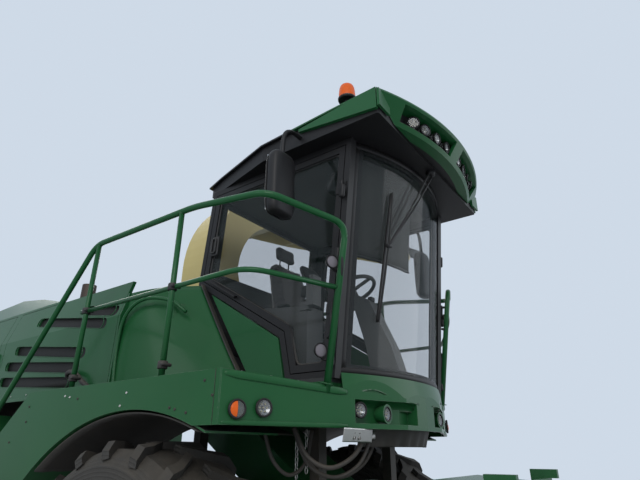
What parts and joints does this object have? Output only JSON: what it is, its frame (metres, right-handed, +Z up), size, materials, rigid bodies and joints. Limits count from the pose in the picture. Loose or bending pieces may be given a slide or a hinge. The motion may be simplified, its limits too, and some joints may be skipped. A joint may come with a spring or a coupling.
{
  "type": "forage harvester",
  "caption": "Self-propelled forage harvester with a feed housing under a glazed cab, steered rear wheels, a rear hood and a turning discharge spout.",
  "frame": {"origin": "on the floor under the middle of the front axle, in the middle plane", "axes": "+X forward, +Y to the machine's left, +Z up"},
  "size_m": [6.367, 5.8821, 5.0045],
  "materials": {
    "paint_green": "gloss",
    "frame_black": "satin",
    "paint_yellow": "gloss",
    "tyre_rubber": "matte",
    "steel": "brushed",
    "black_plastic": "matte",
    "cast": "matte",
    "glass": "polished",
    "seat_fabric": "matte",
    "lamp_clear": "polished",
    "lamp_amber": "gloss"
  },
  "bodies": {
    "chassis": {"frame": "frame_black", "front_axle": "frame_black", "rear_axle": "frame_black", "cutter_housing": "paint_green", "spout_turret": "frame_black", "cab_frame": "black_plastic", "cab_quarters": "paint_green", "cab_roof": "black_plastic", "roof_panels": "paint_green", "roof_visor": "paint_green", "windscreen": "glass", "cab_glass": "glass", "seat": "seat_fabric", "console": "black_plastic", "fascia": "paint_green", "platforms": "paint_green", "handrails": "paint_green", "louvre_panels": "paint_green", "body_shell": "paint_green", "engine": "cast", "exhaust": "steel", "mirrors": "black_plastic", "lamps": "lamp_clear", "amber_lamps": "lamp_amber", "wipers": "black_plastic", "tanks": "black_plastic"},
    "front_left_wheel": {"front_left_rim": "paint_yellow", "front_left_tyre": "tyre_rubber"},
    "front_right_wheel": {"front_right_rim": "paint_yellow", "front_right_tyre": "tyre_rubber"},
    "rear_left_wheel": {"rear_left_rim": "paint_yellow", "rear_left_tyre": "tyre_rubber"},
    "rear_right_wheel": {"rear_right_rim": "paint_yellow", "rear_right_tyre": "tyre_rubber"},
    "left_knuckle_body": {"left_knuckle": "frame_black"},
    "right_knuckle_body": {"right_knuckle": "frame_black"},
    "tie_rod_body": {"tie_rod": "steel"},
    "cutterhead_body": {"cutterhead": "steel"},
    "feed_housing_body": {"feed_housing": "paint_green"},
    "roll_1": {"roll_lower_front": "steel"},
    "roll_2": {"roll_lower_rear": "steel"},
    "roll_3": {"roll_upper_front": "steel"},
    "roll_4": {"roll_upper_rear": "steel"},
    "left_lift_barrel_body": {"left_lift_barrel": "black_plastic"},
    "left_lift_rod_body": {"left_lift_rod": "steel"},
    "right_lift_barrel_body": {"right_lift_barrel": "black_plastic"},
    "right_lift_rod_body": {"right_lift_rod": "steel"},
    "spout_base": {"spout_elbow": "paint_yellow"},
    "spout_boom": {"spout_arm": "paint_yellow"},
    "spout_tip": {"spout_flap": "black_plastic"},
    "spout_barrel_body": {"spout_barrel": "black_plastic"},
    "spout_rod_body": {"spout_rod": "steel"},
    "left_cab_door": {"left_door": "black_plastic", "left_door_glass": "glass"},
    "right_cab_door": {"right_door": "black_plastic", "right_door_glass": "glass"},
    "left_hood_door": {"left_service_door": "paint_green"},
    "right_hood_door": {"right_service_door": "paint_green"},
    "rear_hood_door": {"rear_door": "black_plastic"}
  },
  "joints": [
    {"name": "front_left_spin", "type": "hinge", "parent": "chassis", "child": "front_left_wheel", "pos_m": [0, 1.16, 0.9], "axis": [0, 1, 0], "continuous": true},
    {"name": "front_right_spin", "type": "hinge", "parent": "chassis", "child": "front_right_wheel", "pos_m": [0, -1.16, 0.9], "axis": [0, 1, 0], "continuous": true},
    {"name": "steer_left", "type": "hinge", "parent": "chassis", "child": "left_knuckle_body", "pos_m": [-3.2, 0.79, 0.7], "axis": [0, 0, 1], "range_deg": [-35, 35]},
    {"name": "steer_right", "type": "hinge", "parent": "chassis", "child": "right_knuckle_body", "pos_m": [-3.2, -0.79, 0.7], "axis": [0, 0, 1], "range_deg": [-35, 35]},
    {"name": "rear_left_spin", "type": "hinge", "parent": "left_knuckle_body", "child": "rear_left_wheel", "pos_m": [-3.2, 1.13, 0.7], "axis": [0, 1, 0], "continuous": true},
    {"name": "rear_right_spin", "type": "hinge", "parent": "right_knuckle_body", "child": "rear_right_wheel", "pos_m": [-3.2, -1.13, 0.7], "axis": [0, 1, 0], "continuous": true},
    {"name": "tie_rod_slide", "type": "slide", "parent": "chassis", "child": "tie_rod_body", "axis": [0, 1, 0], "range_m": [-0.14, 0.14]},
    {"name": "feeder_lift", "type": "hinge", "parent": "chassis", "child": "feed_housing_body", "pos_m": [0.62, 0, 1.15], "axis": [0, -1, 0], "range_deg": [-10, 15]},
    {"name": "cutterhead_spin", "type": "hinge", "parent": "chassis", "child": "cutterhead_body", "pos_m": [0.62, 0, 1.15], "axis": [0, 1, 0], "continuous": true},
    {"name": "roll_1_spin", "type": "hinge", "parent": "feed_housing_body", "child": "roll_1", "pos_m": [1.6, 0, 0.93], "axis": [0, 1, 0], "continuous": true},
    {"name": "roll_2_spin", "type": "hinge", "parent": "feed_housing_body", "child": "roll_2", "pos_m": [1.28, 0, 0.99], "axis": [0, 1, 0], "continuous": true},
    {"name": "roll_3_spin", "type": "hinge", "parent": "feed_housing_body", "child": "roll_3", "pos_m": [1.57, 0, 1.33], "axis": [0, 1, 0], "continuous": true},
    {"name": "roll_4_spin", "type": "hinge", "parent": "feed_housing_body", "child": "roll_4", "pos_m": [1.23, 0, 1.275], "axis": [0, 1, 0], "continuous": true},
    {"name": "left_lift_swing", "type": "hinge", "parent": "chassis", "child": "left_lift_barrel_body", "pos_m": [0.23, 0.562, 0.8], "axis": [0, -1, 0], "range_deg": [-20, 20]},
    {"name": "left_lift_stroke", "type": "slide", "parent": "left_lift_barrel_body", "child": "left_lift_rod_body", "axis": [0.9996, 0, 0.0294], "range_m": [-0.12, 0.12]},
    {"name": "right_lift_swing", "type": "hinge", "parent": "chassis", "child": "right_lift_barrel_body", "pos_m": [0.23, -0.562, 0.8], "axis": [0, -1, 0], "range_deg": [-20, 20]},
    {"name": "right_lift_stroke", "type": "slide", "parent": "right_lift_barrel_body", "child": "right_lift_rod_body", "axis": [0.9996, 0, 0.0294], "range_m": [-0.12, 0.12]},
    {"name": "spout_turn", "type": "hinge", "parent": "chassis", "child": "spout_base", "pos_m": [-0.79, 0, 3.03], "axis": [0, 0, 1], "range_deg": [-15, 195]},
    {"name": "spout_lift", "type": "hinge", "parent": "spout_base", "child": "spout_boom", "pos_m": [-0.79, 0.45202, 4.30005], "axis": [1, 0, 0], "range_deg": [-18, 15]},
    {"name": "spout_cylinder_swing", "type": "hinge", "parent": "spout_base", "child": "spout_barrel_body", "pos_m": [-1.046, 0.24563, 3.9275], "axis": [1, 0, 0], "range_deg": [-25, 25]},
    {"name": "spout_cylinder_stroke", "type": "slide", "parent": "spout_barrel_body", "child": "spout_rod_body", "axis": [0, 0.94, 0.3412], "range_m": [-0.2, 0.2]},
    {"name": "flap_tilt", "type": "hinge", "parent": "spout_boom", "child": "spout_tip", "pos_m": [-0.79, 3.889, 4.90609], "axis": [1, 0, 0], "range_deg": [-60, 5]},
    {"name": "left_cab_door_swing", "type": "hinge", "parent": "chassis", "child": "left_cab_door", "pos_m": [1.003, 0.784, 2.1783], "axis": [0.1045, 0, 0.9945], "range_deg": [-25, 0]},
    {"name": "left_hood_door_swing", "type": "hinge", "parent": "chassis", "child": "left_hood_door", "pos_m": [-2.583, 1.144, 2.1], "axis": [0, 0, 1], "range_deg": [-95, 0]},
    {"name": "right_cab_door_swing", "type": "hinge", "parent": "chassis", "child": "right_cab_door", "pos_m": [1.003, -0.784, 2.1783], "axis": [0.1045, 0, 0.9945], "range_deg": [0, 25]},
    {"name": "right_hood_door_swing", "type": "hinge", "parent": "chassis", "child": "right_hood_door", "pos_m": [-2.583, -1.144, 2.1], "axis": [0, 0, 1], "range_deg": [0, 95]},
    {"name": "rear_hood_door_swing", "type": "hinge", "parent": "chassis", "child": "rear_hood_door", "pos_m": [-4.464, 0.917, 2.2], "axis": [0, 0, 1], "range_deg": [-100, 0]}
  ],
  "couplings": [
    {"joint": "steer_right", "follows": "steer_left", "ratio": 1},
    {"joint": "tie_rod_slide", "follows": "steer_left", "m_per_rad": -0.21596},
    {"joint": "roll_1_spin", "follows": "roll_3_spin", "ratio": -1.5},
    {"joint": "roll_2_spin", "follows": "roll_3_spin", "ratio": -1.6667},
    {"joint": "roll_4_spin", "follows": "roll_3_spin", "ratio": 1.3636},
    {"joint": "left_lift_swing", "follows": "feeder_lift", "ratio": 0.60579},
    {"joint": "left_lift_stroke", "follows": "feeder_lift", "m_per_rad": 0.32694},
    {"joint": "right_lift_swing", "follows": "feeder_lift", "ratio": 0.60579},
    {"joint": "right_lift_stroke", "follows": "feeder_lift", "m_per_rad": 0.32694},
    {"joint": "spout_cylinder_swing", "follows": "spout_lift", "ratio": 0.6602},
    {"joint": "spout_cylinder_stroke", "follows": "spout_lift", "m_per_rad": 0.28396}
  ]
}
